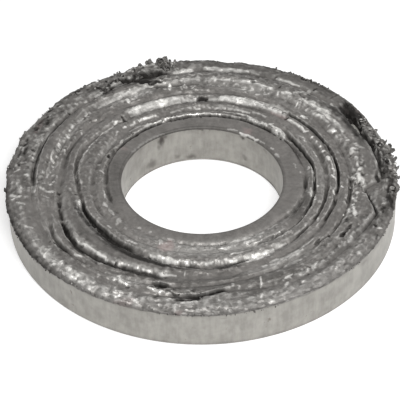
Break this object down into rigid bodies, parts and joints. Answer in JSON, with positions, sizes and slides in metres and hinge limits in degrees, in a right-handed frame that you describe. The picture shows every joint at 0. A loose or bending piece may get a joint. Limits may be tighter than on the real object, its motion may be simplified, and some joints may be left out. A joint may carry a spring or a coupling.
{
  "type": "sealing ring",
  "caption": "Flat round sealing ring of wound, die pressed graphite foil, with smooth walls and a crumpled upper face.",
  "frame": {"origin": "centre of the bore in the plane of the flat underside", "axes": "+Z along the bore axis towards the crumpled upper face; +X to the right and +Y to the back of the picture's view"},
  "size_m": [0.0245, 0.024, 0.0031],
  "materials": {
    "graphite_foil": "pressed graphite foil: satin grey walls, silvery crumpled folds on the upper face"
  },
  "bodies": {
    "root": {"sealing_ring": "graphite_foil"}
  },
  "joints": []
}
